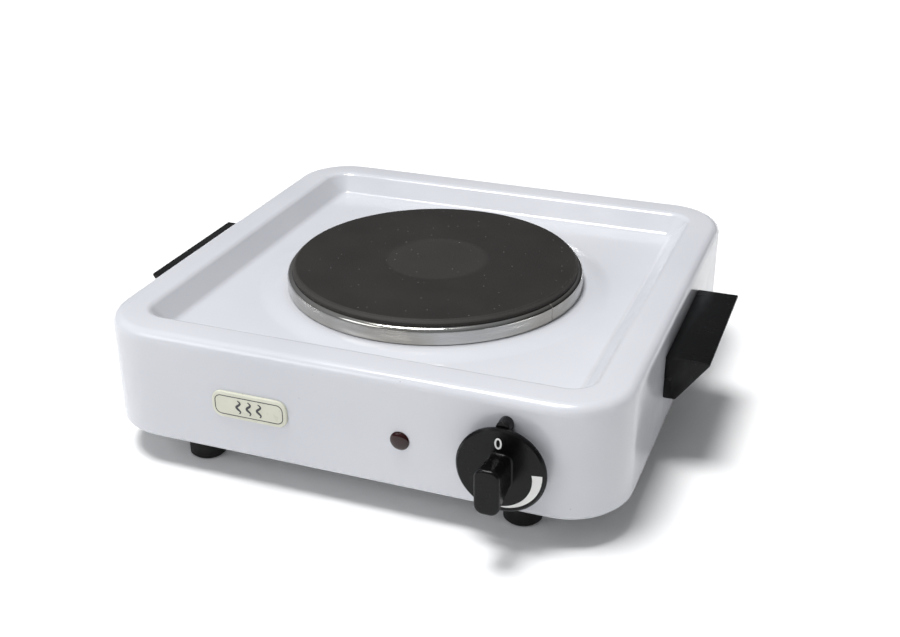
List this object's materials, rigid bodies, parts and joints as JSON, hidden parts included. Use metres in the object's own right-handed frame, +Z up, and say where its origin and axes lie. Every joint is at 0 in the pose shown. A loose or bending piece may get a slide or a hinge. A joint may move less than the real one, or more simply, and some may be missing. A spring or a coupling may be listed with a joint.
{
  "type": "hot plate burner",
  "caption": "Portable electric hot plate: square enamelled casing with a sunk panel, round cast-iron plate in a steel spill ring, rotary control, pilot lamp and wedge side handles.",
  "frame": {"origin": "on the table, under the middle of the overall box", "axes": "+Z up, -Y towards the user (the side with the control), +X to the right of the user"},
  "size_m": [0.294, 0.283, 0.0733],
  "materials": {
    "enamel": "gloss",
    "zinc_steel": "satin",
    "rubber": "matte",
    "iron": "matte",
    "stainless": "polished",
    "cement": "matte",
    "steatite": "satin",
    "resistance_wire": "satin",
    "brass": "satin",
    "phenolic": "gloss",
    "moulding": "matte",
    "lens": "gloss",
    "neon": "clear",
    "badge": "satin",
    "wire_brown": "satin",
    "wire_blue": "satin",
    "wire_earth": "satin"
  },
  "bodies": {
    "casing": {"arm_post": "brass", "badge_plate": "badge", "bottom_cover": "zinc_steel", "bottom_cover_screws": "zinc_steel", "centre_stud": "zinc_steel", "clamp_bridge": "zinc_steel", "clamp_nut": "zinc_steel", "clamp_washer": "zinc_steel", "coil_cover": "zinc_steel", "cord_gland": "moulding", "cord_gland_nut": "moulding", "dial_pointer": "phenolic", "earth_lug": "brass", "earth_nut": "zinc_steel", "earth_screw": "zinc_steel", "earth_wire": "wire_earth", "enamel_body": "enamel", "fixed_contact": "brass", "foot_front_left": "rubber", "foot_front_right": "rubber", "foot_nuts": "zinc_steel", "foot_rear_left": "rubber", "foot_rear_right": "rubber", "foot_screws": "zinc_steel", "handle_screws": "zinc_steel", "heating_coils": "resistance_wire", "hotplate_casting": "iron", "insulating_cement": "cement", "left_handle": "phenolic", "live_wire": "wire_brown", "mains_terminal_block": "steatite", "neutral_wire": "wire_blue", "pilot_lamp_holder": "moulding", "pilot_lead_neutral": "wire_blue", "pilot_lead_switched": "wire_brown", "pilot_lens": "lens", "pilot_neon_tube": "neon", "pilot_retaining_ring": "zinc_steel", "plate_terminal_block": "steatite", "plate_terminal_pins": "brass", "regulator_base": "steatite", "regulator_front_plate": "zinc_steel", "regulator_rear_cover": "moulding", "regulator_screws": "zinc_steel", "right_handle": "phenolic", "spill_ring": "stainless", "switched_live_wire": "wire_brown", "terminal_block_screw": "zinc_steel", "terminal_clamp_screws": "zinc_steel", "terminal_inserts": "brass"},
    "control": {"control_knob": "phenolic", "knob_spring_clip": "zinc_steel", "control_spindle": "zinc_steel", "regulator_cam": "moulding"},
    "push_pin": {"push_pin": "moulding"},
    "contact_arm": {"contact_arm": "brass", "moving_contact": "brass"}
  },
  "joints": [
    {"name": "control_turn", "type": "hinge", "parent": "casing", "child": "control", "pos_m": [0.078, -0.1155, 0.04], "axis": [0, 1, 0], "range_deg": [0, 270]},
    {"name": "pin_slide", "type": "slide", "parent": "casing", "child": "push_pin", "axis": [-1, 0, 0], "range_m": [0, 0.0018]},
    {"name": "arm_turn", "type": "hinge", "parent": "casing", "child": "contact_arm", "pos_m": [0.0643, -0.1028, 0.0292], "axis": [0, -1, 0], "range_deg": [0, 9.5]}
  ],
  "couplings": [
    {"joint": "pin_slide", "follows": "control_turn", "m_per_rad": 0.000382},
    {"joint": "arm_turn", "follows": "control_turn", "ratio": 0.0351}
  ]
}
